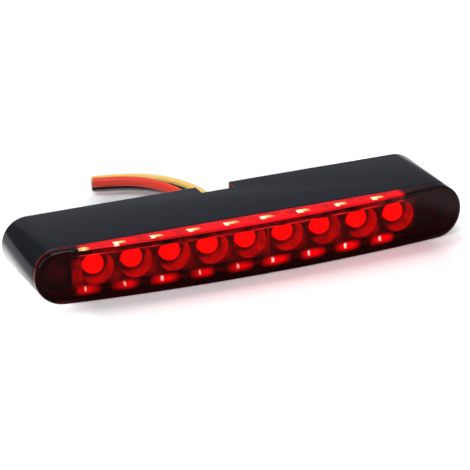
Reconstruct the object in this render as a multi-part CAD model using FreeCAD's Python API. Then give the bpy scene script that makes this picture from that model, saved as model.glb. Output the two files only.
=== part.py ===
"""Slim LED third brake light: an oblong tube of black plastic with a bowed red lens on its front.

Millimetres. X runs along the lamp, the lens looks towards -Y, and the flat bottom stands on Z = 0.
The origin is under the middle of the lamp, with its free leads left out of that middle.
"""
import FreeCAD, Part
import math
import os

from FreeCAD import Vector

# ---- lamp as a whole
length = 105.0
height = 12.8
body_depth = 24.0
lens_end_depth = 2.0        # from the housing's front edge to the lens's front edge at its two ends
lens_bow = 4.2              # how much further the middle of the lens stands out

# ---- clearances
sliding_gap = 0.15          # trays, boards and covers in their pockets
snug_gap = 0.05             # pins, legs, leads and sleeves in their holes
glue_gap = 0.3              # bead between the lens and the housing

# ---- housing
housing_wall = 2.0
rebate_wall = 1.0           # the front lip that the lens spigot slides into
rebate_depth = 2.2
ledge_width = 0.8           # both inner ledges stand in from the wall by this
reflector_ledge_thickness = 1.0
cover_ledge_thickness = 1.0
end_block_depth = 10.0
edge_round = 0.35
recess_depth = 4.5          # from the rear rim to the rear cover
notch_width = 8.3           # way out for the leads when the rim is against a surface
mount_spacing = 92.0

# ---- lens
lens_wall = 2.0
lens_front_wall = 2.0
spigot_length = 2.0
lens_edge_round = 0.5

# ---- threaded inserts
insert_thread = 4.0
insert_diameter = 5.6
insert_length = 6.0
insert_setback = 0.3
insert_knurl_grooves = 2
insert_groove_width = 0.8
insert_groove_depth = 0.3
pilot_depth = 2.5           # free depth behind each insert for the end of a screw

# ---- light-emitting diodes
led_count = 9
led_pitch = 9.25
led_diameter = 5.0
led_length = 8.6
led_flange_diameter = 5.8
led_flange_thickness = 1.0
led_leg_diameter = 0.5
led_leg_spacing = 2.54
led_tip_depth = 1.6         # from the housing's front edge back to the tips

# ---- reflector tray
reflector_front = 0.6       # from the housing's front edge back to the tray's rim
reflector_floor = 1.2
cup_mouth_diameter = 8.0
cup_rim = 0.5               # left past the outermost cups
post_diameter = 3.2

# ---- circuit board
board_thickness = 1.6
solder_height = 0.9
solder_foot_diameter = 1.5
solder_tip_diameter = 0.8

# ---- board screws
screw_diameter = 1.6
screw_length = 4.5
screw_head_diameter = 2.8
screw_head_height = 1.0
screw_slot = 0.4

# ---- parts on the board
resistor_size = (3.2, 0.6, 1.6)
diode_size = (2.6, 2.1, 4.4)
board_margin = 0.6          # from the resistors to the board's long edges

# ---- rear cover
cover_thickness = 1.5
cover_seal_thickness = 0.5

# ---- grommet and leads
lead_diameter = 2.4
conductor_diameter = 0.9
lead_gap = 0.2              # between neighbouring leads in the grommet
grommet_lip = 0.8           # thickness of each flange, and how far it stands past the neck
grommet_skin = 0.9          # rubber around the leads
lead_strip = 4.0            # bare conductor between the board and the insulation
conductor_straight = 1.1    # straight ends of each bare stretch, before and after its bend
pad_shift = 2.3             # the middle lead's pad stands this far over the board's middle

# ---- places worked out from the sizes above
mid_z = height / 2.0
rear_y = (body_depth + lens_end_depth + lens_bow) / 2.0
joint_y = rear_y - body_depth                 # the housing's front edge
front_y = -rear_y
bore_length = length - 2.0 * housing_wall
bore_height = height - 2.0 * housing_wall
led_tip_y = joint_y + led_tip_depth
board_y = led_tip_y + led_length              # the board's front face, where the diodes stand
board_rear_y = board_y + board_thickness
cover_rear_y = rear_y - recess_depth
cover_y = cover_rear_y - cover_thickness
cover_seal_y = cover_y - cover_seal_thickness
lead_exit_y = cover_rear_y + grommet_lip
lead_pitch = lead_diameter + lead_gap
led_centres = [led_pitch * (i - (led_count - 1) / 2.0) for i in range(led_count)]
tray_half = led_centres[-1] + cup_mouth_diameter / 2.0 + cup_rim
end_block_x = tray_half + sliding_gap         # inner face of each solid end block
well_height = bore_height - 2.0 * ledge_width  # between the ledges
neck_half = tray_half - ledge_width           # the tray's narrower rear part
board_height = well_height - 2.0 * sliding_gap
board_half = neck_half - sliding_gap
reflector_seat_y = joint_y + reflector_front + 4.0
reflector_floor_y = reflector_seat_y + 3.0
lead_places = [(-lead_pitch, "red"), (0.0, "black"), (lead_pitch, "yellow")]
post_places = [led_centres[1] - led_pitch / 2.0, led_centres[-2] + led_pitch / 2.0]

# Free leads: each route starts at the grommet's face, drops to the surface behind the lamp and
# swings to the left. The red lead leans on the black one.
lead_routes = {
    "red": [(-2.6, 11.4, 6.4), (-2.6, 16.4, 6.4), (-1.3, 24.2, 4.5), (0.5, 32.2, 2.9),
            (0.6, 40.0, 2.5), (-1.2, 46.6, 2.5), (-4.6, 52.2, 2.5), (-10.2, 56.2, 2.5),
            (-16.1, 57.8, 2.5)],
    "black": [(0.0, 11.4, 6.4), (0.0, 16.6, 6.4), (1.5, 25.2, 3.9), (3.2, 33.6, 1.9),
              (3.4, 41.8, 1.3), (1.4, 48.6, 1.3), (-2.4, 54.8, 1.3), (-8.4, 59.0, 1.3),
              (-15.4, 60.5, 1.3)],
    "yellow": [(2.6, 11.4, 6.4), (2.6, 16.8, 6.4), (4.3, 25.8, 3.9), (6.0, 34.6, 1.9),
               (6.1, 43.2, 1.3), (4.0, 50.4, 1.3), (-0.2, 57.0, 1.3), (-7.0, 61.6, 1.3),
               (-14.7, 63.1, 1.3)],
}


def oblong(long_side, short_side, y_from, y_to, x=0.0, z=mid_z):
    """A bar with fully rounded ends, lying along X, from one Y to another."""
    radius = short_side / 2.0
    reach = long_side / 2.0 - radius
    top, bottom = z + radius, z - radius
    edges = [
        Part.LineSegment(Vector(x - reach, y_from, bottom), Vector(x + reach, y_from, bottom)),
        Part.Arc(Vector(x + reach, y_from, bottom), Vector(x + reach + radius, y_from, z),
                 Vector(x + reach, y_from, top)),
        Part.LineSegment(Vector(x + reach, y_from, top), Vector(x - reach, y_from, top)),
        Part.Arc(Vector(x - reach, y_from, top), Vector(x - reach - radius, y_from, z),
                 Vector(x - reach, y_from, bottom)),
    ]
    face = Part.Face(Part.Wire([edge.toShape() for edge in edges]))
    return face.extrude(Vector(0, y_to - y_from, 0))


def block(half_length, tall, y_from, y_to, x=0.0, z=mid_z):
    """A plain bar centred on X and Z."""
    corner = Vector(x - half_length, y_from, z - tall / 2.0)
    return Part.makeBox(2.0 * half_length, y_to - y_from, tall, corner)


def rod(diameter, y_from, y_to, x=0.0, z=mid_z):
    """A round bar along Y."""
    return Part.makeCylinder(diameter / 2.0, y_to - y_from, Vector(x, y_from, z), Vector(0, 1, 0))


def cone(front_diameter, rear_diameter, y_from, y_to, x=0.0, z=mid_z):
    """A round bar along Y whose diameter changes evenly."""
    return Part.makeCone(front_diameter / 2.0, rear_diameter / 2.0, y_to - y_from,
                         Vector(x, y_from, z), Vector(0, 1, 0))


def tube_along(points, diameter, name):
    """A round tube along straight runs joined by arcs as large as the runs allow."""
    corners = [Vector(*point) for point in points]
    edges, radii, start = [], [], corners[0]
    for before, corner, after in zip(corners, corners[1:], corners[2:]):
        back, ahead = before - corner, after - corner
        reach = 0.45 * min(back.Length, ahead.Length)
        turn = math.pi - back.getAngle(ahead)
        radii.append(reach / math.tan(turn / 2.0))
        back.normalize()
        ahead.normalize()
        first, last = corner + back * reach, corner + ahead * reach
        inward = back + ahead
        inward.normalize()
        middle = corner + inward * (radii[-1] / math.cos(turn / 2.0) - radii[-1])
        edges.append(Part.LineSegment(start, first).toShape())
        edges.append(Part.Arc(first, middle, last).toShape())
        start = last
    edges.append(Part.LineSegment(start, corners[-1]).toShape())
    path = Part.Wire(edges)
    section = Part.Wire(Part.makeCircle(diameter / 2.0, corners[0], corners[1] - corners[0]))
    tube = path.makePipeShell([section], True, True)
    share = tube.Volume / (math.pi * diameter ** 2 / 4.0 * path.Length)
    print(f"{name}: length {path.Length:.1f}, volume share {share:.4f}, radii",
          " ".join(f"{radius:.1f}" for radius in radii))
    return tube


def lens_curve(inset):
    """The upright cylinder that the lens front follows, set back by inset."""
    half = length / 2.0
    radius = (half ** 2 + lens_bow ** 2) / (2.0 * lens_bow)
    centre = Vector(0, front_y + radius, -height)
    return Part.makeCylinder(radius - inset, 3.0 * height, centre, Vector(0, 0, 1))


def round_edges(shape, radius, wanted):
    """Fillets the edges that the test picks."""
    return shape.makeFillet(radius, [edge for edge in shape.Edges if wanted(edge)])


def lies_at_y(edge, y):
    return all(abs(vertex.Y - y) < 1e-6 for vertex in edge.Vertexes)


def make_housing():
    outer = oblong(length, height, joint_y, rear_y)
    outer = round_edges(outer, edge_round,
                        lambda edge: lies_at_y(edge, joint_y) or lies_at_y(edge, rear_y))
    shell = outer.cut(oblong(bore_length, bore_height, joint_y - 1.0, rear_y + 1.0))
    rebate = oblong(length - 2.0 * rebate_wall, height - 2.0 * rebate_wall,
                    joint_y - 1.0, joint_y + rebate_depth)
    shell = shell.cut(rebate)
    inner = oblong(bore_length + 0.2, bore_height + 0.2, joint_y, rear_y)
    ledges = []
    for y_from, thickness in ((reflector_seat_y, reflector_ledge_thickness),
                              (cover_seal_y - cover_ledge_thickness, cover_ledge_thickness)):
        ring = block(length / 2.0, height, y_from, y_from + thickness)
        ring = ring.cut(block(neck_half + sliding_gap, well_height, y_from, y_from + thickness))
        ledges.append(ring.common(inner))
    blocks = []
    for side in (-1, 1):
        reach = (length / 2.0 - end_block_x) / 2.0
        plug = block(reach, height, rear_y - end_block_depth, rear_y,
                     x=side * (end_block_x + reach))
        blocks.append(plug.common(inner))
    shell = shell.fuse(ledges + blocks).removeSplitter()
    for side in (-1, 1):
        x = side * mount_spacing / 2.0
        insert_end = rear_y - insert_setback - insert_length
        shell = shell.cut(rod(insert_diameter + 2.0 * snug_gap, insert_end - pilot_depth,
                              rear_y + 1.0, x=x))
    notch = block(notch_width / 2.0, height, cover_rear_y, rear_y + 1.0, z=height)
    return shell.cut(notch)


def make_lens():
    back = joint_y - glue_gap
    outer = oblong(length, height, front_y - 1.0, back).common(lens_curve(0.0))
    front_edges = [edge for edge in outer.Edges
                   if not lies_at_y(edge, back) and abs(edge.Length) > lens_end_depth * 2.0]
    outer = outer.makeFillet(lens_edge_round, front_edges)
    spigot = oblong(length - 2.0 * (rebate_wall + sliding_gap),
                    height - 2.0 * (rebate_wall + sliding_gap), back - lens_wall / 2.0,
                    joint_y + spigot_length)
    hollow = oblong(length - 2.0 * lens_wall, height - 2.0 * lens_wall,
                    front_y, joint_y + spigot_length + 1.0).common(lens_curve(lens_front_wall))
    return outer.fuse(spigot).cut(hollow).removeSplitter()


def make_lens_bead():
    outer = oblong(length - 2.0 * sliding_gap, height - 2.0 * sliding_gap,
                   joint_y - glue_gap, joint_y)
    inner_gap = 2.0 * rebate_wall + sliding_gap
    return outer.cut(oblong(length - inner_gap, height - inner_gap, joint_y - 1.0, joint_y + 1.0))


def make_reflector():
    tall = bore_height - 2.0 * sliding_gap
    front = joint_y + reflector_front
    rear = reflector_floor_y + reflector_floor
    tray = block(tray_half, tall, front, reflector_seat_y)
    tray = tray.fuse(block(neck_half, well_height - 2.0 * sliding_gap, reflector_seat_y, rear))
    posts = [rod(post_diameter, rear, board_y, x=x) for x in post_places]
    tray = tray.fuse(posts)
    hole = led_diameter + 2.0 * sliding_gap
    for x in led_centres:
        tray = tray.cut(cone(cup_mouth_diameter, hole, front, reflector_floor_y, x=x))
        tray = tray.cut(rod(hole, reflector_floor_y, rear, x=x))
        tray = tray.cut(rod(led_flange_diameter + 2.0 * snug_gap, rear, board_y, x=x))
    bottom = board_rear_y - screw_length - 0.5
    for x in post_places:
        tray = tray.cut(rod(screw_diameter + 2.0 * snug_gap, bottom, board_y, x=x))
    return tray.removeSplitter()


def make_led(x):
    radius = led_diameter / 2.0
    dome = Part.makeSphere(radius, Vector(x, led_tip_y + radius, mid_z))
    body = dome.fuse(rod(led_diameter, led_tip_y + radius, board_y, x=x))
    flange = rod(led_flange_diameter, board_y - led_flange_thickness, board_y, x=x)
    flat = block(radius, led_flange_diameter, board_y - led_flange_thickness - 1.0, board_y,
                 x=x + led_diameter)
    return body.fuse(flange.cut(flat)).removeSplitter()


def leg_places():
    return [x + side * led_leg_spacing / 2.0 for x in led_centres for side in (-1, 1)]


def pad_places():
    """Where each free lead's conductor enters the board: X, Z and colour."""
    shift = led_pitch / 2.0
    return [(-shift, mid_z, "red"), (0.0, mid_z + pad_shift, "black"), (shift, mid_z, "yellow")]


def make_led_legs():
    end = board_rear_y + solder_height + 0.3
    return [rod(led_leg_diameter, board_y, end, x=x) for x in leg_places()]


def make_board():
    board = block(board_half, board_height, board_y, board_rear_y)
    hole = led_leg_diameter + 2.0 * sliding_gap
    for x in leg_places():
        board = board.cut(rod(hole, board_y - 1.0, board_rear_y + 1.0, x=x))
    for x, z, _ in pad_places():
        board = board.cut(rod(conductor_diameter + 2.0 * snug_gap, board_y - 1.0,
                              board_rear_y + 1.0, x=x, z=z))
    for x in post_places:
        board = board.cut(rod(screw_diameter + 2.0 * sliding_gap, board_y - 1.0,
                              board_rear_y + 1.0, x=x))
    return board


def make_solder_joints():
    top = board_rear_y + solder_height
    joints = []
    for x in leg_places():
        joint = cone(solder_foot_diameter, solder_tip_diameter, board_rear_y, top, x=x)
        joints.append(joint.cut(rod(led_leg_diameter, board_rear_y, top, x=x)))
    for x, z, _ in pad_places():
        joint = cone(solder_foot_diameter + conductor_diameter - led_leg_diameter,
                     solder_tip_diameter + conductor_diameter - led_leg_diameter,
                     board_rear_y, top, x=x, z=z)
        joints.append(joint.cut(rod(conductor_diameter, board_rear_y, top, x=x, z=z)))
    return joints


def make_screw(x):
    head = rod(screw_head_diameter, board_rear_y, board_rear_y + screw_head_height, x=x)
    head = round_edges(head, screw_head_height / 3.0,
                       lambda edge: lies_at_y(edge, board_rear_y + screw_head_height))
    slots = [block(screw_head_diameter / 3.0, screw_slot, board_rear_y + screw_head_height / 2.0,
                   board_rear_y + 2.0 * screw_head_height, x=x),
             block(screw_slot / 2.0, screw_head_diameter * 2.0 / 3.0,
                   board_rear_y + screw_head_height / 2.0,
                   board_rear_y + 2.0 * screw_head_height, x=x)]
    shank = rod(screw_diameter, board_rear_y - screw_length, board_rear_y, x=x)
    return head.cut(slots[0]).cut(slots[1]).fuse(shank).removeSplitter()


def on_board(size, x, z=mid_z):
    """A chip lying on the board's rear face."""
    return Part.makeBox(*size, Vector(x - size[0] / 2.0, board_rear_y, z - size[2] / 2.0))


def make_resistors():
    """Four chips: one for each string of three diodes, and one that dims the running light."""
    x = led_centres[-2] - led_pitch / 2.0
    lift = (board_height - resistor_size[2]) / 2.0 - board_margin
    return [on_board(resistor_size, side * x, mid_z + up * lift)
            for side in (-1, 1) for up in (-1, 1)]


def make_diodes():
    """One reverse-polarity diode for each feed."""
    x = led_centres[-3] - led_pitch / 2.0
    return [on_board(diode_size, side * x) for side in (-1, 1)]


def make_cover():
    cover = block(tray_half, bore_height - 2.0 * sliding_gap, cover_y, cover_rear_y)
    return cover.cut(oblong(*grommet_neck(snug_gap), cover_y - 1.0, cover_rear_y + 1.0))


def make_cover_seal():
    outer = block(tray_half, bore_height - 2.0 * sliding_gap, cover_seal_y, cover_y)
    return outer.cut(block(neck_half + sliding_gap, well_height, cover_seal_y, cover_y))


def grommet_neck(gap=0.0):
    """Long and short side of the oblong neck that fills the cover's hole."""
    around = lead_diameter + 2.0 * (grommet_skin + gap)
    return 2.0 * lead_pitch + around, around


def make_grommet():
    long_side, short_side = grommet_neck()
    body = oblong(long_side, short_side, cover_y, cover_rear_y)
    for y_from in (cover_y - grommet_lip, cover_rear_y):
        lip = oblong(long_side + 2.0 * grommet_lip, short_side + 2.0 * grommet_lip,
                     y_from, y_from + grommet_lip)
        body = body.fuse(lip)
    for x, _ in lead_places:
        body = body.cut(rod(lead_diameter + 2.0 * snug_gap, cover_y - grommet_lip - 1.0,
                            lead_exit_y + 1.0, x=x))
    return body.removeSplitter()


def make_insert(x):
    face = rear_y - insert_setback
    sleeve = rod(insert_diameter, face - insert_length, face, x=x)
    sleeve = sleeve.cut(rod(insert_thread, face - insert_length - 1.0, face + 1.0, x=x))
    gap = insert_length / (insert_knurl_grooves + 1)
    for i in range(insert_knurl_grooves):
        middle = face - gap * (i + 1)
        ends = middle - insert_groove_width / 2.0, middle + insert_groove_width / 2.0
        groove = rod(insert_diameter + 1.0, *ends, x=x)
        groove = groove.cut(rod(insert_diameter - 2.0 * insert_groove_depth, *ends, x=x))
        sleeve = sleeve.cut(groove)
    return sleeve


def make_lead_tail(x):
    """The insulated stretch of a lead inside the lamp, up to the grommet's outer face."""
    return rod(lead_diameter, board_rear_y + lead_strip, lead_exit_y, x=x)


def make_conductors():
    """Bare strands from the end of each lead's insulation to its pad on the board."""
    bare_end = board_rear_y + lead_strip
    conductors = []
    for (x, _), (pad_x, pad_z, colour) in zip(lead_places, pad_places()):
        top = board_rear_y + solder_height
        route = [(x, bare_end, mid_z), (x, bare_end - conductor_straight, mid_z),
                 (pad_x, top + conductor_straight, pad_z), (pad_x, top, pad_z)]
        bare = tube_along(route, conductor_diameter, "bare " + colour)
        pin = rod(conductor_diameter, board_y, top, x=pad_x, z=pad_z)
        conductors.append(bare.fuse(pin).removeSplitter())
    return conductors


def export(name, solids):
    if not isinstance(solids, list):
        solids = [solids]
    for solid in solids:
        if not solid.isValid() or solid.Volume <= 0.0 or len(solid.Solids) != 1:
            print("FAULT in", name, solid.isValid(), solid.Volume, len(solid.Solids))
    shape = solids[0] if len(solids) == 1 else Part.makeCompound(solids)
    shape.exportStep(os.path.join("parts", name + ".step"))


os.makedirs("parts", exist_ok=True)
export("housing", make_housing())
export("lens", make_lens())
export("lens_bead", make_lens_bead())
export("reflector", make_reflector())
for number, x in enumerate(led_centres, start=1):
    export(f"led_{number}", make_led(x))
export("led_legs", make_led_legs())
export("circuit_board", make_board())
export("solder_joints", make_solder_joints())
export("series_resistors", make_resistors())
export("polarity_diodes", make_diodes())
export("board_screws", [make_screw(x) for x in post_places])
export("rear_cover", make_cover())
export("rear_cover_seal", make_cover_seal())
export("grommet", make_grommet())
export("threaded_insert_left", make_insert(-mount_spacing / 2.0))
export("threaded_insert_right", make_insert(mount_spacing / 2.0))
export("lead_conductors", make_conductors())
for x, colour in lead_places:
    export(f"{colour}_lead_tail", make_lead_tail(x))
    export(f"{colour}_lead", tube_along(lead_routes[colour], lead_diameter, colour + " lead"))
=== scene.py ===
"""A slim LED third brake light, lit, standing on a pale floor. Metres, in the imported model's frame."""
import math

import bmesh
import bpy
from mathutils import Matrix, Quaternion, Vector


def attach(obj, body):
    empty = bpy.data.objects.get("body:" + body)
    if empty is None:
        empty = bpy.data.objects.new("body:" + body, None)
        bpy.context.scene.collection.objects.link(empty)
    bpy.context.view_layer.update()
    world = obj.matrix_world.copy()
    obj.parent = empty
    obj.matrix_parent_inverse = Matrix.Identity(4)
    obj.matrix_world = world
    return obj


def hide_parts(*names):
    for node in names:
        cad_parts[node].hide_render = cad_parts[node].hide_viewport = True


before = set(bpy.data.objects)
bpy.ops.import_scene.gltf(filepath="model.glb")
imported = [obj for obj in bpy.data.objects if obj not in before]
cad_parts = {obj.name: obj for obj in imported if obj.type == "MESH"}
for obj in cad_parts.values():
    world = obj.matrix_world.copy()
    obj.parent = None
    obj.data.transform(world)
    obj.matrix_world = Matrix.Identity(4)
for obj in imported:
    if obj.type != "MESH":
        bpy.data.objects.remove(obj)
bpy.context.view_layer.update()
mm = 0.001

# Camera. A long lens stands in front of the lamp, a little to its left and above it, and is tipped
# slightly, as a product shot has it.
camera_azimuth, camera_elevation, camera_tip = (math.radians(a) for a in (-19.83, 20.06, -2.89))
camera_aim = Vector((-0.30, 0.0, 4.96)) * mm
camera_distance, focal_length = 767.6 * mm, 252.4
towards_camera = Vector((math.sin(camera_azimuth) * math.cos(camera_elevation),
                         -math.cos(camera_azimuth) * math.cos(camera_elevation),
                         math.sin(camera_elevation)))
bpy.ops.object.camera_add(location=camera_aim + towards_camera * camera_distance)
camera = bpy.context.object
camera.name = "camera"
camera.data.lens = focal_length
camera.rotation_mode = "QUATERNION"
level_turn = (-towards_camera).to_track_quat("-Z", "Y")
camera.rotation_quaternion = level_turn @ Quaternion((0, 0, 1), camera_tip)
bpy.context.scene.camera = camera
bpy.context.scene.view_settings.view_transform = "Standard"


# Leads. Three PVC-covered copper wires, 2.4 mm thick, that leave the grommet side by side, drop to the
# floor behind the lamp and swing to the left, where they are cut off square.
def new_material(name, **values):
    """A Principled material with plain values set on its own sockets."""
    material = bpy.data.materials.new(name)
    material.use_nodes = True
    shader = material.node_tree.nodes["Principled BSDF"]
    for socket, value in values.items():
        shader.inputs[socket.replace("_", " ")].default_value = value
    return material, material.node_tree, shader


def new_group(name, inputs, outputs):
    """A shader node group; inputs and outputs list (name, socket type)."""
    group = bpy.data.node_groups.new(name, "ShaderNodeTree")
    for direction, rows in (("INPUT", inputs), ("OUTPUT", outputs)):
        for socket, kind in rows:
            group.interface.new_socket(socket, in_out=direction, socket_type="NodeSocket" + kind)
    return group, group.nodes.new("NodeGroupInput"), group.nodes.new("NodeGroupOutput")


def add_math(tree, operation, first, second=None, third=None):
    """A Math node; each operand is a number or an output."""
    node = tree.nodes.new("ShaderNodeMath")
    node.operation = operation
    for place, operand in enumerate((first, second, third)):
        if isinstance(operand, (int, float)):
            node.inputs[place].default_value = operand
        elif operand is not None:
            tree.links.new(operand, node.inputs[place])
    return node.outputs[0]


def add_mix(tree, amount, first, second):
    """A colour mix; amount is a number or an output, the colours are colours or outputs."""
    node = tree.nodes.new("ShaderNodeMix")
    node.data_type = "RGBA"
    for place, operand in ((0, amount), (6, first), (7, second)):
        if hasattr(operand, "links"):
            tree.links.new(operand, node.inputs[place])
        else:
            node.inputs[place].default_value = operand
    return node.outputs[2]


def add_noise(tree, where, scale, detail=2.0):
    """A Noise Texture; scale is a number or an output."""
    node = tree.nodes.new("ShaderNodeTexNoise")
    tree.links.new(where, node.inputs["Vector"])
    if isinstance(scale, (int, float)):
        node.inputs["Scale"].default_value = scale
    else:
        tree.links.new(scale, node.inputs["Scale"])
    node.inputs["Detail"].default_value = detail
    return node.outputs["Fac"]


# Handling and moulding leave every surface a little uneven: broad patches that change its colour and
# gloss, a fine grain, and specks of dust.
handled, handled_in, handled_out = new_group(
    "handled_surface",
    [("Color", "Color"), ("Patch Color", "Color"), ("Patch Scale", "Float"), ("Grain Scale", "Float"),
     ("Roughness", "Float"), ("Roughness Spread", "Float"), ("Dust", "Float")],
    [("Color", "Color"), ("Roughness", "Float"), ("Height", "Float")])
speck_scale, speck_level, speck_strength, speck_colour = 2600.0, 0.72, 9.0, (0.35, 0.34, 0.33, 1)
patch_height = 0.3
place = handled.nodes.new("ShaderNodeTexCoord").outputs["Object"]
patches = add_noise(handled, place, handled_in.outputs["Patch Scale"], 3.0)
grain = add_noise(handled, place, handled_in.outputs["Grain Scale"])
specks = add_math(handled, "SUBTRACT", add_noise(handled, place, speck_scale, 0.0), speck_level)
specks = add_math(handled, "MULTIPLY", add_math(handled, "MAXIMUM", specks, 0.0), speck_strength)
dust = add_math(handled, "MULTIPLY", specks, handled_in.outputs["Dust"])
body_colour = add_mix(handled, patches, handled_in.outputs["Color"], handled_in.outputs["Patch Color"])
handled.links.new(add_mix(handled, dust, body_colour, speck_colour), handled_out.inputs["Color"])
spread = add_math(handled, "MULTIPLY", add_math(handled, "SUBTRACT", patches, 0.5),
                  handled_in.outputs["Roughness Spread"])
rough = add_math(handled, "ADD", handled_in.outputs["Roughness"], spread)
handled.links.new(add_math(handled, "ADD", rough, dust), handled_out.inputs["Roughness"])
handled.links.new(add_math(handled, "MULTIPLY_ADD", patches, patch_height, grain),
                  handled_out.inputs["Height"])


def handled_material(name, colour, patch_colour, roughness, spread=0.1, patch_scale=60.0,
                     grain_scale=1500.0, bump=0.1, bump_depth=0.05 * mm, dust=0.0, **values):
    """A material whose colour, roughness and bump come from the handled-surface group."""
    material, tree, shader = new_material(name, **values)
    surface = tree.nodes.new("ShaderNodeGroup")
    surface.node_tree = handled
    for socket, value in (("Color", colour), ("Patch Color", patch_colour), ("Patch Scale", patch_scale),
                          ("Grain Scale", grain_scale), ("Roughness", roughness),
                          ("Roughness Spread", spread), ("Dust", dust)):
        surface.inputs[socket].default_value = value
    relief = tree.nodes.new("ShaderNodeBump")
    relief.inputs["Strength"].default_value = bump
    relief.inputs["Distance"].default_value = bump_depth
    tree.links.new(surface.outputs["Color"], shader.inputs["Base Color"])
    tree.links.new(surface.outputs["Roughness"], shader.inputs["Roughness"])
    tree.links.new(surface.outputs["Height"], relief.inputs["Height"])
    tree.links.new(relief.outputs["Normal"], shader.inputs["Normal"])
    return material


lead_diameter = 2.4 * mm
# Each route runs from the grommet's inner face to the cut end, in millimetres.
lead_routes = {
    "red": [(-2.6, 11.4, 6.4), (-2.6, 16.4, 6.4), (-1.3, 24.2, 4.5), (0.5, 32.2, 2.9),
            (0.6, 40.0, 2.5), (-1.2, 46.6, 2.6), (-4.6, 52.2, 2.7), (-10.2, 56.2, 2.7),
            (-16.1, 57.8, 2.7)],
    "black": [(0.0, 11.4, 6.4), (0.0, 16.6, 6.4), (1.5, 25.2, 3.9), (3.2, 33.6, 1.9),
              (3.4, 41.8, 1.25), (1.3, 48.4, 1.25), (-2.7, 54.3, 1.25), (-8.7, 58.4, 1.25),
              (-15.7, 59.95, 1.25)],
    "yellow": [(2.6, 11.4, 6.4), (2.6, 16.8, 6.4), (4.3, 25.8, 3.9), (6.0, 34.6, 1.9),
               (6.1, 43.2, 1.3), (4.0, 50.4, 1.3), (-0.2, 57.0, 1.3), (-7.0, 61.6, 1.3),
               (-14.7, 63.1, 1.3)],
}
lead_colours = {"red": (0.92, 0.055, 0.026, 1), "black": (0.012, 0.011, 0.011, 1),
                "yellow": (1.0, 0.66, 0.18, 1)}
patch_shade = 0.88
insulation = {}
for colour, pigment in lead_colours.items():
    insulation[colour] = handled_material(
        colour + "_pvc", pigment, tuple(patch_shade * c for c in pigment[:3]) + (1,), 0.36, spread=0.16,
        patch_scale=260.0, grain_scale=2400.0, bump=0.12, dust=0.015)
strand_copper = handled_material(
    "strand_copper", (0.86, 0.42, 0.26, 1), (0.62, 0.26, 0.14, 1), 0.30, patch_scale=900.0,
    grain_scale=6000.0, Metallic=1.0)


def finish_piece(piece, material, slot, *nodes):
    """Gives a finished piece its finish, hangs it on the root body and hides the imported nodes that it
    replaces.
    """
    piece.data.materials.clear()
    piece.data.materials.append(material)
    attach(piece, "root")
    if nodes:
        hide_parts(*nodes)


def select_only(piece):
    """Deselects everything else and makes the piece active."""
    bpy.ops.object.select_all(action="DESELECT")
    piece.select_set(True)
    bpy.context.view_layer.objects.active = piece


def join_pieces(pieces, name):
    """Several finished meshes made one object."""
    select_only(pieces[0])
    for piece in pieces[1:]:
        piece.select_set(True)
    bpy.ops.object.join()
    pieces[0].name = name
    return pieces[0]


def make_strands(colour, count=7, strand_radius=0.15 * mm, strand_length=0.8 * mm, ring=0.31 * mm,
                 proud=0.06 * mm, edge=0.04 * mm):
    """The cut copper strands in the square end of a lead: one in the middle and the rest around it."""
    last, before = (Vector(p) * mm for p in (lead_routes[colour][-1], lead_routes[colour][-2]))
    along = (last - before).normalized()
    turn = along.to_track_quat("Z", "Y")
    strands = []
    for i in range(count):
        angle = 2 * math.pi * i / (count - 1)
        aside = Vector((ring * math.cos(angle), ring * math.sin(angle), 0)) if i else Vector((0, 0, 0))
        bpy.ops.object.select_all(action="DESELECT")
        middle = last + turn @ aside + along * (proud - strand_length / 2)
        bpy.ops.mesh.primitive_cylinder_add(vertices=16, radius=strand_radius, depth=strand_length,
                                            location=middle, rotation=turn.to_euler())
        strand = bpy.context.object
        bpy.ops.object.transform_apply(location=True, rotation=True, scale=True)
        rounding = strand.modifiers.new("rounding", "BEVEL")
        rounding.width, rounding.segments = edge, 2
        bpy.ops.object.modifier_apply(modifier=rounding.name)
        bpy.ops.object.shade_smooth_by_angle(angle=math.radians(40))
        strands.append(strand)
    bundle = join_pieces(strands, colour + "_lead_strands")
    finish_piece(bundle, strand_copper, "copper")
    return bundle


for colour, route in lead_routes.items():
    curve = bpy.data.curves.new(colour + "_wire", "CURVE")
    curve.dimensions = "3D"
    curve.resolution_u = 12
    curve.bevel_depth = lead_diameter / 2
    curve.bevel_resolution = 8
    curve.use_fill_caps = True
    line = curve.splines.new("NURBS")
    line.points.add(len(route) - 1)
    for point, spot in zip(line.points, route):
        point.co = (*(Vector(spot) * mm), 1)
    line.order_u = 3
    line.use_endpoint_u = True
    line.use_smooth = True
    wire = bpy.data.objects.new(colour + "_wire", curve)
    bpy.context.collection.objects.link(wire)
    finish_piece(wire, insulation[colour], colour + "_insulation", colour + "_lead")
    make_strands(colour)

# Housing. An oblong tube of satin black plastic, moulded in one piece, with two inner ledges, a solid
# block in each end for the threaded inserts, a lip for the lens and a notch in the rear edge.
length, height, mid_z = 105.0 * mm, 12.8 * mm, 6.4 * mm
joint_y, rear_y = -8.9 * mm, 15.1 * mm
housing_wall, lip_wall, lip_depth, edge_round = 2.0 * mm, 1.0 * mm, 2.2 * mm, 0.35 * mm
ledge_front_y, ledge_back_y = -4.3 * mm, -3.3 * mm
cover_ledge_y, recess_floor_y, end_block_y = 7.6 * mm, 8.6 * mm, 5.1 * mm
bore_length, bore_height = length - 2 * housing_wall, height - 2 * housing_wall
end_block_x, opening_x, opening_height = 41.65 * mm, 40.85 * mm, 7.2 * mm
insert_x, insert_bore, pocket_floor_y = 46.0 * mm, 2.85 * mm, 6.3 * mm
notch_half, notch_front_y = 4.15 * mm, 10.6 * mm
past = 1 * mm  # a cutting shape runs this far beyond the face that it opens
same_place, merge_reach = 1e-6, 2e-6
sharp_edge = math.radians(35)


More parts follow.
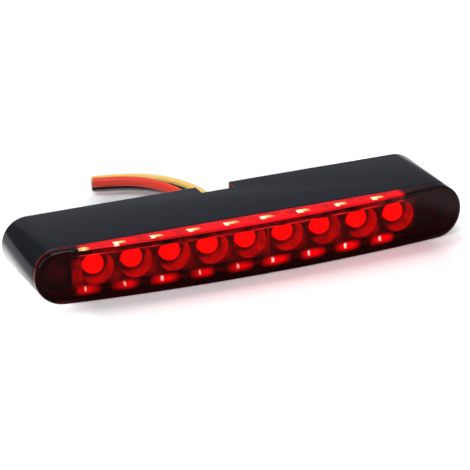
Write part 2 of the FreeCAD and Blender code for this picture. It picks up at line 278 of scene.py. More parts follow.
def start_block(name, half_length, tall, y_from, y_to, x=0.0, z=mid_z):
    """A plain block added at its size and place, to be shaped further."""
    bpy.ops.object.select_all(action="DESELECT")
    bpy.ops.mesh.primitive_cube_add(size=1, location=(x, (y_from + y_to) / 2, z))
    block = bpy.context.object
    block.name = name
    block.scale = (2 * half_length, y_to - y_from, tall)
    bpy.ops.object.transform_apply(location=True, rotation=False, scale=True)
    return block


def pick(kind, test):
    """In edit mode, selects only the verts, edges or faces that the test takes."""
    mesh = bmesh.from_edit_mesh(bpy.context.object.data)
    bpy.ops.mesh.select_mode(type=kind)
    bpy.ops.mesh.select_all(action="DESELECT")
    for element in {"VERT": mesh.verts, "EDGE": mesh.edges, "FACE": mesh.faces}[kind]:
        element.select_set(bool(test(element)))
    mesh.select_flush_mode()
    bmesh.update_edit_mesh(bpy.context.object.data)


def lies_at(*places):
    """A test that takes the edges or faces whose corners all stand at one of these Y."""
    return lambda element: any(all(abs(vert.co.y - y) < same_place for vert in element.verts)
                               for y in places)


def start_bar(name, long_side, tall, y_from, y_to, steps=28):
    """A bar with fully rounded ends: a block whose four corners along Y are bevelled until they meet."""
    bar = start_block(name, long_side / 2, tall, y_from, y_to)
    bpy.ops.object.mode_set(mode="EDIT")
    pick("EDGE", lambda edge: abs(edge.verts[0].co.y - edge.verts[1].co.y) > (y_to - y_from) / 2)
    bpy.ops.mesh.bevel(offset=tall / 2, segments=steps, affect="EDGES")
    bpy.ops.mesh.select_all(action="SELECT")
    bpy.ops.mesh.remove_doubles(threshold=merge_reach)
    bpy.ops.object.mode_set(mode="OBJECT")
    return bar


def start_rod(name, radius, y_from, y_to, x=0.0, vertices=64):
    """A round bar along Y."""
    bpy.ops.object.select_all(action="DESELECT")
    bpy.ops.mesh.primitive_cylinder_add(vertices=vertices, radius=radius, depth=y_to - y_from,
                                        location=(x, (y_from + y_to) / 2, mid_z),
                                        rotation=(-math.pi / 2, 0, 0))
    bpy.context.object.name = name
    bpy.ops.object.transform_apply(location=True, rotation=True, scale=True)
    return bpy.context.object


def apply_modifiers(piece):
    """Makes the piece's modifiers part of its mesh, in their order."""
    select_only(piece)
    for step in list(piece.modifiers):
        bpy.ops.object.modifier_apply(modifier=step.name)


def combine(piece, other, operation="DIFFERENCE"):
    """Cuts another shape out of the piece, or joins it on, and takes the other shape away."""
    step = piece.modifiers.new("combine", "BOOLEAN")
    step.operation, step.object, step.solver = operation, other, "EXACT"
    apply_modifiers(piece)
    bpy.data.objects.remove(other)


def soften_edges(piece, width, segments=2):
    """Rounds the sharp edges and shades the rest smooth."""
    rounding = piece.modifiers.new("rounding", "BEVEL")
    rounding.width, rounding.segments, rounding.limit_method = width, segments, "ANGLE"
    rounding.angle_limit = sharp_edge
    apply_modifiers(piece)
    bpy.ops.object.shade_smooth_by_angle(angle=sharp_edge)


housing = start_bar("housing_shell", length, height, joint_y, rear_y)
bpy.ops.object.mode_set(mode="EDIT")
pick("EDGE", lies_at(joint_y, rear_y))
bpy.ops.mesh.bevel(offset=edge_round, segments=4, affect="EDGES")
pick("FACE", lies_at(joint_y))
bpy.ops.mesh.inset(thickness=lip_wall - edge_round)
bpy.ops.mesh.extrude_region_move(TRANSFORM_OT_translate={"value": (0, lip_depth, 0)})
bpy.ops.mesh.inset(thickness=housing_wall - lip_wall)
bpy.ops.mesh.extrude_region_move(
    TRANSFORM_OT_translate={"value": (0, ledge_front_y - joint_y - lip_depth, 0)})
bpy.ops.object.mode_set(mode="OBJECT")
combine(housing, start_bar("chamber", bore_length, bore_height, ledge_back_y, end_block_y))
combine(housing, start_block("rear_chamber", end_block_x, bore_height, end_block_y - past / 2, cover_ledge_y))
combine(housing, start_block("openings", opening_x, opening_height, ledge_front_y - past, rear_y))
combine(housing, start_block("recess", end_block_x, bore_height, recess_floor_y, rear_y + past))
combine(housing, start_block("notch", notch_half, height, notch_front_y, rear_y + past, z=height))
for side in (-1, 1):
    combine(housing, start_rod("insert_pocket", insert_bore, pocket_floor_y, rear_y + past,
                               x=side * insert_x))
soften_edges(housing, 0.1 * mm)
housing_plastic = handled_material(
    "housing_plastic", (0.0108, 0.0112, 0.0165, 1), (0.0130, 0.0136, 0.0192, 1), 0.13, spread=0.06,
    patch_scale=45.0, grain_scale=1900.0, bump=0.08, dust=0.015)
finish_piece(housing, housing_plastic, "housing", "housing")

# Reflector. A tray of metallised plastic with nine conical cups, pressed against the front ledge and
# held by two screws in the posts behind it.
def lathe(name, profile, x=0.0, steps=48):
    """A turned shape: an outline of (radius, y) drawn point by point and spun around an axis along Y."""
    bpy.ops.object.select_all(action="DESELECT")
    bpy.ops.mesh.primitive_plane_add(size=1 * mm, location=(0, 0, 0))
    turned = bpy.context.object
    turned.name = name
    bpy.ops.object.mode_set(mode="EDIT")
    bpy.ops.mesh.select_mode(type="VERT")
    bpy.ops.mesh.select_all(action="SELECT")
    bpy.ops.mesh.merge(type="CENTER")
    points = [Vector((x + radius, y, mid_z)) for radius, y in profile]
    bpy.ops.transform.translate(value=points[0])
    for start, end in zip(points, points[1:]):
        bpy.ops.mesh.extrude_region_move(TRANSFORM_OT_translate={"value": end - start})
    bpy.ops.mesh.select_all(action="SELECT")
    bpy.ops.mesh.spin(steps=steps, angle=2 * math.pi, center=(x, 0, mid_z), axis=(0, 1, 0))
    bpy.ops.mesh.select_all(action="SELECT")
    bpy.ops.mesh.remove_doubles(threshold=merge_reach)
    bpy.ops.mesh.normals_make_consistent(inside=False)
    bpy.ops.object.mode_set(mode="OBJECT")
    bpy.ops.object.shade_smooth_by_angle(angle=sharp_edge)
    return turned


led_pitch, led_radius, led_tip_y, board_y = 9.25 * mm, 2.5 * mm, -7.3 * mm, 1.3 * mm
led_centres = [led_pitch * (i - 4) for i in range(9)]
tray_front_y, tray_half, tray_height, tray_step = -8.3 * mm, 41.5 * mm, 8.5 * mm, 0.8 * mm
cup_floor_y, tray_rear_y, cup_radius, led_hole = -1.3 * mm, -0.1 * mm, 4.0 * mm, 2.65 * mm
post_x, post_radius, post_overlap = 32.375 * mm, 1.6 * mm, 0.5 * mm
screw_bore, screw_tip_y = 0.85 * mm, -2.1 * mm
reflector = start_block("reflector_tray", tray_half, tray_height, tray_front_y, ledge_front_y)
bpy.ops.object.mode_set(mode="EDIT")
pick("FACE", lies_at(ledge_front_y))
bpy.ops.mesh.inset(thickness=tray_step)
bpy.ops.mesh.extrude_region_move(TRANSFORM_OT_translate={"value": (0, tray_rear_y - ledge_front_y, 0)})
bpy.ops.object.mode_set(mode="OBJECT")
for side in (-1, 1):
    post = start_rod("post", post_radius, tray_rear_y - post_overlap, board_y, x=side * post_x, vertices=32)
    combine(reflector, post, "UNION")
cup_outline = [(0.0, tray_front_y - past), (cup_radius, tray_front_y - past), (cup_radius, tray_front_y),
               (led_hole, cup_floor_y), (led_hole, board_y + past), (0.0, board_y + past)]
cups = join_pieces([lathe("cup", cup_outline, x=x, steps=64) for x in led_centres], "cups")
combine(reflector, cups)
for side in (-1, 1):
    combine(reflector, start_rod("screw_hole", screw_bore, screw_tip_y, board_y + past, x=side * post_x,
                                 vertices=24))
soften_edges(reflector, 0.12 * mm, segments=3)
reflector_metal = handled_material(
    "reflector_metal", (0.74, 0.71, 0.70, 1), (0.06, 0.06, 0.06, 1), 0.20, spread=0.12,
    patch_scale=340.0, grain_scale=900.0, bump=0.2, bump_depth=0.1 * mm, Metallic=1.0)
finish_piece(reflector, reflector_metal, "reflector", "reflector")

# Diodes. Nine 5 mm red diodes of tinted epoxy: a domed body on a flange with a flat at the cathode
# side, standing on the board through the tray's holes. They are lit, brightest along their axis.
flange_radius, flange_front_y, flange_corner = 2.9 * mm, 0.3 * mm, 0.1 * mm
shade_y, shade_length, shade_glow = led_tip_y + led_radius, 1.2 * mm, 0.05
edge_power, haze_scale, dome_steps, pitches_aside = 3.0, 900.0, 14, 20


def add_place(tree):
    """Object coordinates, whole and as X, Y and Z."""
    place = tree.nodes.new("ShaderNodeTexCoord").outputs["Object"]
    split = tree.nodes.new("ShaderNodeSeparateXYZ")
    tree.links.new(place, split.inputs[0])
    return place, *split.outputs


def add_map(tree, value, from_min, from_max, to_min=0.0, to_max=1.0):
    """A Map Range node."""
    node = tree.nodes.new("ShaderNodeMapRange")
    tree.links.new(value, node.inputs["Value"])
    for socket, number in (("From Min", from_min), ("From Max", from_max),
                           ("To Min", to_min), ("To Max", to_max)):
        node.inputs[socket].default_value = number
    return node.outputs[0]


def add_distance(tree, across, up):
    """How far a point lies from the middle, from its two measures at right angles."""
    across_squared = add_math(tree, "MULTIPLY", across, across)
    return add_math(tree, "SQRT", add_math(tree, "MULTIPLY_ADD", up, up, across_squared))


led_glow, glow_tree, glow_shader = new_material("led_epoxy_lit", Roughness=0.12, IOR=1.54,
                                                Emission_Strength=1.5)
glow_place, glow_x, glow_y, glow_z = add_place(glow_tree)
# X is folded at every half pitch, so that it measures from the nearest diode's axis.
above_zero = add_math(glow_tree, "ADD", glow_x, led_pitch * pitches_aside)
aside = add_math(glow_tree, "PINGPONG", above_zero, led_pitch / 2)
from_axis = add_distance(glow_tree, aside, add_math(glow_tree, "SUBTRACT", glow_z, mid_z))
edge_fall = add_math(glow_tree, "DIVIDE", from_axis, led_radius)
core = add_math(glow_tree, "SUBTRACT", 1.0, add_math(glow_tree, "POWER", edge_fall, edge_power))
core = add_math(glow_tree, "MAXIMUM", core, 0.0)
dome_share = add_map(glow_tree, glow_y, shade_y, shade_y + shade_length, 1.0, shade_glow)
dome_light = add_mix(glow_tree, core, (0.75, 0.0, 0.0, 1), (1.0, 0.02, 0.008, 1))
glow_tree.links.new(add_mix(glow_tree, dome_share, (0.0, 0.0, 0.0, 1), dome_light),
                    glow_shader.inputs["Emission Color"])
haze = add_noise(glow_tree, glow_place, haze_scale)
glow_tree.links.new(add_mix(glow_tree, haze, (0.55, 0.010, 0.008, 1), (0.42, 0.004, 0.004, 1)),
                    glow_shader.inputs["Base Color"])
dome = [(led_radius * math.sin(a), led_tip_y + led_radius * (1 - math.cos(a)))
        for a in (math.pi / 2 * i / dome_steps for i in range(dome_steps + 1))]
led_outline = dome + [(led_radius, flange_front_y), (flange_radius - flange_corner, flange_front_y),
                      (flange_radius, flange_front_y + flange_corner), (flange_radius, board_y),
                      (0.0, board_y)]
for i, x in enumerate(led_centres):
    led = lathe(f"led_{i + 1}_epoxy", led_outline, x=x)
    for vert in led.data.vertices:
        vert.co.x = min(vert.co.x, x + led_radius)
    finish_piece(led, led_glow, "led_epoxy", f"led_{i + 1}")

# Lens. A clear red acrylic cap, bowed at the front, moulded in one piece with two fine ribs and a low
# pad on its inside. Its spigot slides into the housing's lip and is sealed there.
lens_bow, lens_wall, glue_gap = 4.2 * mm, 2.0 * mm, 0.3 * mm
front_y, lens_back_y = -15.1 * mm, joint_y - glue_gap
spigot_end_y, spigot_step = -6.9 * mm, 1.15 * mm
front_corner, hollow_corner = 0.5 * mm, 0.3 * mm
rib_half, rib_height, rib_root, rib_depth = 0.11 * mm, 9.0 * mm, 0.3 * mm, 0.35 * mm
ceiling_rib_height, ceiling_rib_gap = 0.6 * mm, 0.2 * mm
pad_half, pad_height, pad_depth, pad_x, pad_z = 2.15 * mm, 2.5 * mm, 0.25 * mm, -2.95 * mm, 3.85 * mm
bow_radius = ((length / 2) ** 2 + lens_bow ** 2) / (2 * lens_bow)


def start_bowed_bar(name, long_side, tall, y_to, inset, corner, strips=84, cut_span=0.996):
    """A rounded bar whose front face follows an upright cylinder, set back by inset, with round corners."""
    face_y = front_y + inset
    bar = start_bar(name, long_side, tall, face_y, y_to, steps=20)
    bpy.ops.object.mode_set(mode="EDIT")
    pick("EDGE", lies_at(face_y))
    bpy.ops.mesh.bevel(offset=corner, segments=5, affect="EDGES")
    for i in range(strips + 1):
        bpy.ops.mesh.select_all(action="SELECT")
        bpy.ops.mesh.bisect(plane_co=(long_side * (i / strips - 0.5) * cut_span, 0, 0),
                            plane_no=(1, 0, 0), threshold=merge_reach)
    bpy.ops.object.mode_set(mode="OBJECT")
    curve_radius = bow_radius - inset
    for vert in bar.data.vertices:
        if vert.co.y < face_y + corner + same_place:
            vert.co.y += curve_radius - math.sqrt(curve_radius ** 2 - vert.co.x ** 2)
    return bar


lens = start_bowed_bar("lens_cap", length, height, lens_back_y, 0.0, front_corner)
combine(lens, start_bar("spigot", length - 2 * spigot_step, height - 2 * spigot_step,
                        lens_back_y - past, spigot_end_y), "UNION")
combine(lens, start_bowed_bar("hollow", length - 2 * lens_wall, height - 2 * lens_wall,
                              spigot_end_y + past, lens_wall, hollow_corner))
inner_face_y, ceiling_z = front_y + lens_wall, height - lens_wall
for x in (-5.4 * mm, 2.8 * mm):
    front_rib = start_block("front_rib", rib_half, rib_height, inner_face_y - rib_root,
                            inner_face_y + rib_depth, x=x)
    combine(lens, front_rib, "UNION")
    ceiling_rib = start_block("ceiling_rib", rib_half, ceiling_rib_height, inner_face_y,
                              spigot_end_y - ceiling_rib_gap, x=x, z=ceiling_z)
    combine(lens, ceiling_rib, "UNION")
pad = start_block("front_pad", pad_half, pad_height, inner_face_y - rib_root, inner_face_y + pad_depth,
                  x=pad_x, z=pad_z)
combine(lens, pad, "UNION")
select_only(lens)
bpy.ops.object.shade_smooth_by_angle(angle=math.radians(30))

lens_acrylic, lens_tree, lens_shader = new_material(
    "lens_acrylic", Base_Color=(0.86, 0.004, 0.004, 1), IOR=1.49, Transmission_Weight=1.0,
    Emission_Strength=1.0)
lens_place, lens_x, lens_y, lens_z = add_place(lens_tree)
clean_gloss, smear_gloss, smear_scale = 0.07, 0.08, 90.0
smears = add_noise(lens_tree, lens_place, smear_scale, 3.0)
lens_tree.links.new(add_math(lens_tree, "MULTIPLY_ADD", smears, smear_gloss, clean_gloss),
                    lens_shader.inputs["Roughness"])


def add_between(tree, value, low, high, soft, unit=mm):
    """1 where the value lies between low and high, fading to 0 over soft outside them."""
    middle, half = (low + high) / 2 * unit, (high - low) / 2 * unit
    away = add_math(tree, "ABSOLUTE", add_math(tree, "SUBTRACT", value, middle))
    return add_map(tree, away, half, half + soft * unit, 1.0, 0.0)


def add_product(tree, *masks):
    """Masks multiplied together."""
    result = masks[0]
    for mask in masks[1:]:
        result = add_math(tree, "MULTIPLY", result, mask)
    return result


# Painted light on the lens: the diodes' light is painted on the acrylic as emission, though the acrylic is no
# lamp: a bright red band with painted highlights on its top edge, thin painted lines at its inner corners and
# small painted glints, one of each kind to a diode. First come the measures that the masks read: how deep a
# point lies behind the bowed front, and how far it lies beside its diode's glint.
glint_shift, glint_spread, glint_drift = 5.7 * mm, 0.024, 2.6 * mm
drift_scale, size_scale, blotch_scale = 210.0, 75.0, 260.0
bow = add_math(lens_tree, "MULTIPLY", add_math(lens_tree, "MULTIPLY", lens_x, lens_x), 0.5 / bow_radius)
depth_in = add_math(lens_tree, "SUBTRACT", add_math(lens_tree, "SUBTRACT", lens_y, front_y), bow)
uneven = add_noise(lens_tree, lens_place, drift_scale)
drift = add_math(lens_tree, "MULTIPLY", add_math(lens_tree, "SUBTRACT", uneven, 0.5), glint_drift)
beside = add_math(lens_tree, "MULTIPLY_ADD", lens_x, 1 + glint_spread, glint_shift)
beside = add_math(lens_tree, "WRAP", add_math(lens_tree, "ADD", beside, drift), led_pitch / 2, -led_pitch / 2)
size_noise = add_noise(lens_tree, lens_place, size_scale, 0.0)
glint_size = add_math(lens_tree, "MULTIPLY_ADD", size_noise, 2.4, -0.5)
streak_size = add_math(lens_tree, "MULTIPLY_ADD", glint_size, 0.6, 0.5)
blotch = add_map(lens_tree, add_noise(lens_tree, lens_place, blotch_scale, 3.0), 0.38, 0.62)
from_outside = add_math(lens_tree, "SUBTRACT", 1.0,
                        lens_tree.nodes.new("ShaderNodeNewGeometry").outputs["Backfacing"])

# The masks of the painted light, with their limits in millimetres.
lit_length = add_between(lens_tree, lens_x, -41.2, 36.6, 1.2)
glint_length = add_between(lens_tree, lens_x, -43.0, 33.5, 0.8)
front_face = add_between(lens_tree, depth_in, -0.5, 0.6, 0.1)
inner_face = add_between(lens_tree, depth_in, 1.95, 2.15, 0.08)
# Painted glow: a bright red band along the top face of the lens.
painted_top_band = add_product(lens_tree, lit_length, from_outside,
                       add_between(lens_tree, lens_z, 12.45, 13.0, 0.12),
                       add_between(lens_tree, lens_y, -16.0, -9.75, 0.15))
# Painted highlights on that band: a warm-white head and a yellow tail, one to a diode.
painted_top_glints = add_product(lens_tree, painted_top_band, glint_length)
painted_glint_head = add_product(lens_tree, painted_top_glints,
                         add_between(lens_tree, beside, -1.5, -0.6, 0.2),
                         add_between(lens_tree, lens_y, -13.2, -11.6, 0.3))
painted_glint_tail = add_product(lens_tree, painted_top_glints,
                         add_between(lens_tree, beside, -0.8, 0.4, 1.4),
                         add_between(lens_tree, beside, -1.5, 6.0, 0.1),
                         add_between(lens_tree, lens_y, -12.5, -11.7, 0.5))
# Painted highlights low on the front face: a white glint and a red streak to its right, one to a diode.
painted_low_glint = add_product(lens_tree, glint_length, front_face, glint_size,
                        add_between(lens_tree, beside, -0.1, 0.1, 0.30),
                        add_between(lens_tree, lens_z, 3.0, 3.4, 0.55))
painted_low_streak = add_product(lens_tree, glint_length, front_face, streak_size,
                         add_between(lens_tree, beside, -0.2, 1.6, 2.6),
                         add_between(lens_tree, lens_z, 2.7, 3.3, 1.0))
# Painted light inside the lens: a thin pink line along the hollow's top corner, a dim red glow high on the
# front face and a dark red strip at the hollow's left end.
painted_inner_line = add_product(lens_tree, lit_length, inner_face, glint_size, blotch,
                        add_between(lens_tree, lens_z, 10.62, 10.9, 0.06))
painted_upper_glow = add_product(lens_tree, lit_length, front_face, blotch,
                          add_between(lens_tree, lens_z, 11.0, 12.0, 0.4))
painted_end_strip = add_product(lens_tree, inner_face, blotch,
                        add_between(lens_tree, lens_x, -43.6, -41.4, 0.25),
                        add_between(lens_tree, lens_z, 3.2, 9.4, 0.9))

# Each mask lays its painted light over the ones before it; together they make the lens's emission.
# The painted band's red, lighter and darker in blotches.
painted_band_red = add_mix(lens_tree, blotch, (0.62, 0.0, 0.002, 1), (0.98, 0.0, 0.008, 1))
glow = (0.0, 0.0, 0.0, 1)
for mask, colour in ((painted_top_band, painted_band_red), (painted_upper_glow, (0.16, 0.0, 0.0, 1)),
                     (painted_end_strip, (0.26, 0.0, 0.004, 1)), (painted_low_streak, (0.95, 0.0, 0.002, 1)),
                     (painted_inner_line, (1.0, 0.30, 0.30, 1)), (painted_low_glint, (1.3, 0.9, 0.8, 1)),
                     (painted_glint_tail, (1.4, 0.85, 0.30, 1)), (painted_glint_head, (1.4, 1.05, 0.70, 1))):
    glow = add_mix(lens_tree, mask, glow, colour)
lens_tree.links.new(glow, lens_shader.inputs["Emission Color"])
finish_piece(lens, lens_acrylic, "lens", "lens")

# Bead of sealant. Black silicone, laid between the lens and the housing and pressed out to their edge
# as they are joined, slightly rounded.
bead_set_back, bead_hole_step = 0.3 * mm, 2.15 * mm
bead = start_bar("lens_bead_ring", length - bead_set_back, height - bead_set_back, lens_back_y, joint_y)
combine(bead, start_bar("bead_hole", length - bead_hole_step, height - bead_hole_step,
                        lens_back_y - past, joint_y + past))
soften_edges(bead, 0.09 * mm, segments=3)
bead_silicone = handled_material("bead_silicone", (0.012, 0.011, 0.011, 1), (0.018, 0.017, 0.017, 1), 0.5,
                                 patch_scale=300.0, grain_scale=1800.0, bump=0.3)
finish_piece(bead, bead_silicone, "sealant", "lens_bead")

# Board and what stands on it. A sheet of glass epoxy with a green mask, tinned joints, chip resistors
# and diodes, fixed by two small screws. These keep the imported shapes.
def dress(node, material):
    """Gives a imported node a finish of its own."""
    for slot in bpy.data.objects[node].material_slots:
        slot.link = "OBJECT"
        slot.material = material


board_mask = handled_material("board_mask", (0.010, 0.085, 0.030, 1), (0.018, 0.12, 0.045, 1), 0.32,
                              patch_scale=420.0, grain_scale=3500.0, bump=0.12)
tin = handled_material("solder_tin", (0.72, 0.71, 0.69, 1), (0.56, 0.55, 0.53, 1), 0.26, spread=0.2,
                       patch_scale=700.0, grain_scale=3000.0, bump=0.2, Metallic=1.0)
chip_ceramic = handled_material("chip_ceramic", (0.018, 0.018, 0.019, 1), (0.028, 0.027, 0.027, 1), 0.45,
                                patch_scale=900.0, grain_scale=5000.0)
screw_steel = handled_material("screw_steel", (0.60, 0.60, 0.61, 1), (0.48, 0.48, 0.50, 1), 0.28,
                               patch_scale=900.0, grain_scale=4000.0, Metallic=1.0)
for node, material in (("circuit_board", board_mask), ("solder_joints", tin), ("led_legs", tin),
                       ("series_resistors", chip_ceramic), ("polarity_diodes", chip_ceramic),
                       ("board_screws", screw_steel)):
    dress(node, material)

# Rear cover and its gasket. A black plate pushed into the recess onto a foam gasket, with an oblong
# hole for the grommet.
cover_y, cover_rear_y, cover_half, cover_height = 9.1 * mm, 10.6 * mm, 41.5 * mm, 8.5 * mm
neck_length, neck_height = 9.5 * mm, 4.3 * mm
cover = start_block("rear_cover_plate", cover_half, cover_height, cover_y, cover_rear_y)
combine(cover, start_bar("grommet_hole", neck_length, neck_height, cover_y - past, cover_rear_y + past))
soften_edges(cover, 0.2 * mm, segments=3)
cover_plastic = handled_material("cover_plastic", (0.022, 0.022, 0.024, 1), (0.028, 0.028, 0.030, 1), 0.42,
                                 patch_scale=80.0, grain_scale=1300.0, bump=0.3, dust=0.15)
finish_piece(cover, cover_plastic, "cover", "rear_cover")
gasket_foam = handled_material("gasket_foam", (0.020, 0.020, 0.020, 1), (0.034, 0.034, 0.034, 1), 0.85,
                               patch_scale=1200.0, grain_scale=5200.0, bump=0.6)
dress("rear_cover_seal", gasket_foam)

# Grommet. Soft black rubber with a lip on each side of the cover and a hole for each lead. It is pulled
# through the cover's oblong hole and keeps water out and strain off the solder.
lip_length, lip_height, lip_front_y, lip_thickness = 11.0 * mm, 5.8 * mm, 8.3 * mm, 0.8 * mm
neck_step, lead_hole, lead_spacing = 0.8 * mm, 1.25 * mm, 2.6 * mm
hole_front_y, hole_rear_y = 7 * mm, 13 * mm
grommet = start_bar("grommet_rubber", lip_length, lip_height, lip_front_y, cover_y)
bpy.ops.object.mode_set(mode="EDIT")
pick("FACE", lies_at(cover_y))
bpy.ops.mesh.inset(thickness=neck_step)
bpy.ops.mesh.extrude_region_move(TRANSFORM_OT_translate={"value": (0, cover_rear_y - cover_y, 0)})
bpy.ops.object.mode_set(mode="OBJECT")
combine(grommet, start_bar("rear_lip", lip_length, lip_height, cover_rear_y, cover_rear_y + lip_thickness),
        "UNION")
for x in (-lead_spacing, 0.0, lead_spacing):
    combine(grommet, start_rod("lead_hole", lead_hole, hole_front_y, hole_rear_y, x=x, vertices=48))
soften_edges(grommet, 0.14 * mm, segments=3)
rubber = handled_material("soft_rubber", (0.016, 0.016, 0.016, 1), (0.026, 0.026, 0.025, 1), 0.62,
                          patch_scale=240.0, grain_scale=2200.0, bump=0.3, dust=0.3)
finish_piece(grommet, rubber, "grommet_rubber", "grommet")
for colour in insulation:
    dress(colour + "_lead_tail", insulation[colour])
dress("lead_conductors", strand_copper)

# Threaded inserts. Turned brass bushes with an M4 thread and two grooves, pressed warm into the end
# blocks.
insert_face_y, insert_length, insert_radius, insert_edge = 14.8 * mm, 6.0 * mm, 2.8 * mm, 0.15 * mm
groove_radius, groove_half = 2.5 * mm, 0.4 * mm
thread_radius, thread_crest, thread_pitch, thread_start = 2.0 * mm, 1.68 * mm, 0.7 * mm, 0.2 * mm
insert_back_y = insert_face_y - insert_length
outline = [(thread_radius, insert_face_y), (insert_radius - insert_edge, insert_face_y),
           (insert_radius, insert_face_y - insert_edge)]
for groove_y in (insert_face_y - insert_length / 3, insert_face_y - 2 * insert_length / 3):
    outline += [(insert_radius, groove_y + groove_half), (groove_radius, groove_y + groove_half),
                (groove_radius, groove_y - groove_half), (insert_radius, groove_y - groove_half)]
outline += [(insert_radius, insert_back_y), (thread_radius, insert_back_y)]
for i in range(int(insert_length / thread_pitch)):
    y = insert_back_y + thread_start + i * thread_pitch
    outline += [(thread_crest, y + thread_pitch * 0.45), (thread_crest, y + thread_pitch * 0.55),
                (thread_radius, y + thread_pitch * 0.95)]
outline.append((thread_radius, insert_face_y))
brass = handled_material("turned_brass", (0.80, 0.56, 0.24, 1), (0.68, 0.45, 0.18, 1), 0.24, spread=0.14,
                         patch_scale=500.0, grain_scale=4200.0, bump=0.15, Metallic=1.0)
for side, name in ((-1, "left"), (1, "right")):
    insert = lathe(name + "_insert_bush", outline, x=side * insert_x, steps=56)
    finish_piece(insert, brass, "brass", "threaded_insert_" + name)

# Floor. A pale floor that looks white to the camera and keeps the lamp's shadow and its red glow. In
# the lamp's own gloss it is bright behind the lamp and dim in front of it, as it is between a lit
# backdrop and a dark room, and under the lens it throws back little light.
floor_size = 6.0
floor_edge = floor_size / 2 / mm
bpy.ops.object.select_all(action="DESELECT")
bpy.ops.mesh.primitive_plane_add(size=floor_size, location=(0, 0, 0))
floor = bpy.context.object
floor.name = "floor"
floor_paint, floor_tree, plain_shader = new_material("floor_paint")
floor_tree.nodes.remove(plain_shader)
_, floor_x, floor_y, _ = add_place(floor_tree)
behind = add_between(floor_tree, floor_y, -6.0, floor_edge, 8.0)
near_lamp = add_between(floor_tree, floor_x, -54.0, 56.0, 7.0)
far_right = add_between(floor_tree, floor_x, 66.0, floor_edge, 9.0)
beneath = add_product(floor_tree, add_between(floor_tree, floor_x, -40.0, 42.0, 9.0),
                      add_between(floor_tree, floor_y, -30.0, 66.0, 16.0))
# Painted light: extra floor light beside the lamp's left end, which washes out the lamp's shadow there.
painted_light_left_end = add_product(floor_tree, add_between(floor_tree, floor_x, -90.0, -46.5, 3.0),
                       add_between(floor_tree, floor_y, -11.0, 40.0, 5.0))

# The part that is seen: white paint with a little light of its own, which lies over all but the lamp's shadow
# and is painted stronger beside the lamp's left end to wash out the shadow there, and a painted shadow, a
# greyer oval between the leads and the housing.
oval_x, oval_y, oval_half_length, oval_half_width = -7.0, 49.0, 12.0, 9.0
across = add_math(floor_tree, "MULTIPLY_ADD", floor_x, 1 / (oval_half_length * mm),
                  -oval_x / oval_half_length)
along = add_math(floor_tree, "MULTIPLY_ADD", floor_y, 1 / (oval_half_width * mm),
                 -oval_y / oval_half_width)
# Painted shadow: a greyer oval on the floor between the leads and the housing.
painted_lead_shadow = add_between(floor_tree, add_distance(floor_tree, across, along), -0.7, 0.7, 0.6, unit=1)
seen_floor = floor_tree.nodes.new("ShaderNodeBsdfDiffuse")
floor_tree.links.new(add_mix(floor_tree, painted_lead_shadow, (0.93, 0.93, 0.93, 1), (0.50, 0.51, 0.52, 1)),
                     seen_floor.inputs["Color"])
lift = floor_tree.nodes.new("ShaderNodeEmission")
open_lift, left_lift, shadow_lift = 0.50, 0.5, -0.44
outside = add_math(floor_tree, "MULTIPLY_ADD", painted_light_left_end, left_lift, open_lift)
floor_tree.links.new(add_math(floor_tree, "MULTIPLY_ADD", beneath, shadow_lift, outside),
                     lift.inputs["Strength"])
lit_floor = floor_tree.nodes.new("ShaderNodeAddShader")
floor_tree.links.new(seen_floor.outputs[0], lit_floor.inputs[0])
floor_tree.links.new(lift.outputs[0], lit_floor.inputs[1])

# The part that only lights the lamp, and how much of the seen part each kind of ray takes. A ray that
# glass lets through counts as a glossy ray too, so it is taken off before the mirrored share.
share_in_front, share_far_right, share_behind, share_near_lamp = 0.03, 0.2, 0.20, 0.52
share_through_glass = 0.08
floor_ray = floor_tree.nodes.new("ShaderNodeLightPath")
dim_floor = floor_tree.nodes.new("ShaderNodeBsdfDiffuse")
bounce = add_product(floor_tree, behind, floor_ray.outputs["Is Diffuse Ray"])
floor_tree.links.new(add_mix(floor_tree, bounce, (0.06, 0.06, 0.06, 1), (0.70, 0.70, 0.70, 1)),
                     dim_floor.inputs["Color"])
mirrored_in_front = add_math(floor_tree, "MULTIPLY_ADD", far_right, share_far_right, share_in_front)
mirrored_behind = add_math(floor_tree, "MULTIPLY_ADD", near_lamp, share_near_lamp, share_behind)
mirrored = add_math(floor_tree, "MULTIPLY_ADD", behind, mirrored_behind, mirrored_in_front)
reflected = add_math(floor_tree, "SUBTRACT", floor_ray.outputs["Is Glossy Ray"],
                     floor_ray.outputs["Is Transmission Ray"])
seen = add_math(floor_tree, "MULTIPLY_ADD", reflected, mirrored, floor_ray.outputs["Is Camera Ray"])
seen = add_math(floor_tree, "MULTIPLY_ADD", floor_ray.outputs["Is Transmission Ray"],
                share_through_glass, seen)


def add_choice(tree, share, first, second, output):
    """A Mix Shader between two shaders, linked to the tree's output."""
    choice = tree.nodes.new("ShaderNodeMixShader")
    for source, place in ((share, 0), (first.outputs[0], 1), (second.outputs[0], 2)):
        tree.links.new(source, choice.inputs[place])
    tree.links.new(choice.outputs[0], tree.nodes[output].inputs["Surface"])


add_choice(floor_tree, seen, dim_floor, lit_floor, "Material Output")
floor.data.materials.append(floor_paint)

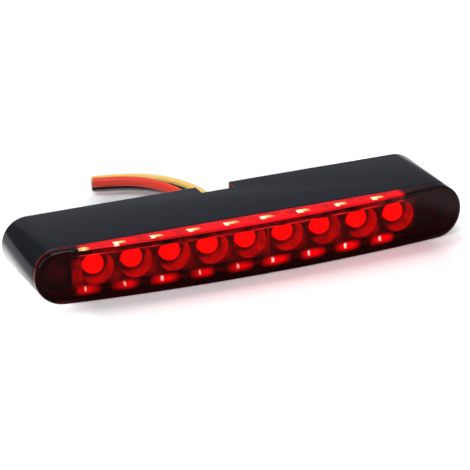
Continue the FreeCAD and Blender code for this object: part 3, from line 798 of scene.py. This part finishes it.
# Room. A grey surround with a dark gap at the back left, which lights the lamp and is mirrored in its
# gloss. The camera sees white instead of it.
world = bpy.data.worlds.new("studio")
bpy.context.scene.world = world
world.use_nodes = True
world_tree = world.node_tree
surround = world_tree.nodes["Background"]
facing = world_tree.nodes.new("ShaderNodeSeparateXYZ")
world_tree.links.new(world_tree.nodes.new("ShaderNodeTexCoord").outputs["Generated"], facing.inputs[0])
gap = add_product(world_tree, add_between(world_tree, facing.outputs[0], -0.75, -0.14, 0.08, unit=1),
                  add_between(world_tree, facing.outputs[1], 0.5, 1.1, 0.1, unit=1),
                  add_between(world_tree, facing.outputs[2], -0.1, 0.75, 0.1, unit=1))
around = add_mix(world_tree, gap, (0.115, 0.118, 0.138, 1), (0.006, 0.006, 0.008, 1))
world_tree.links.new(around, surround.inputs["Color"])
white = world_tree.nodes.new("ShaderNodeBackground")
world_ray = world_tree.nodes.new("ShaderNodeLightPath")
white_through_glass, white_in_gloss = 0.06, 0.04
seen = add_math(world_tree, "MULTIPLY_ADD", world_ray.outputs["Is Transmission Ray"],
                white_through_glass, world_ray.outputs["Is Camera Ray"])
seen = add_math(world_tree, "MULTIPLY_ADD", world_ray.outputs["Is Glossy Ray"], white_in_gloss, seen)
add_choice(world_tree, seen, surround, white, "World Output")

# Lights. A broad soft light behind and above the lamp, a weaker one above its front, a faint one on its
# left, and a long narrow red one in front of the lens for the glow that the diodes throw on the floor.
def add_soft_light(name, place, aim, size, power, colour=(1, 1, 1), mirrored=True):
    """A rectangular light that the camera doesn't see, and that gloss sees only where mirrored."""
    place, aim = Vector(place), Vector(aim)
    data = bpy.data.lights.new(name, "AREA")
    data.shape, data.size, data.size_y = "RECTANGLE", size[0], size[1]
    data.energy, data.color = power, colour
    light = bpy.data.objects.new(name, data)
    light.location = place
    light.rotation_euler = (aim - place).to_track_quat("-Z", "Y").to_euler()
    light.visible_camera = light.visible_transmission = False
    light.visible_glossy = mirrored
    bpy.context.collection.objects.link(light)


add_soft_light("back_light", (-0.05, 0.31, 0.49), (0, 0.02, 0), (0.50, 0.30), 2.7, mirrored=False)
add_soft_light("top_light", (-0.12, -0.22, 0.55), (0, 0, 0), (0.4, 0.3), 1.2)
add_soft_light("left_light", (-0.45, -0.10, 0.30), (0, 0, 0), (0.3, 0.3), 0.5)
add_soft_light("lens_light", (0.005, -0.019, 0.010), (0.008, -0.040, 0.0), (0.085, 0.004), 0.0019,
               colour=(1.0, 0.02, 0.03), mirrored=False)
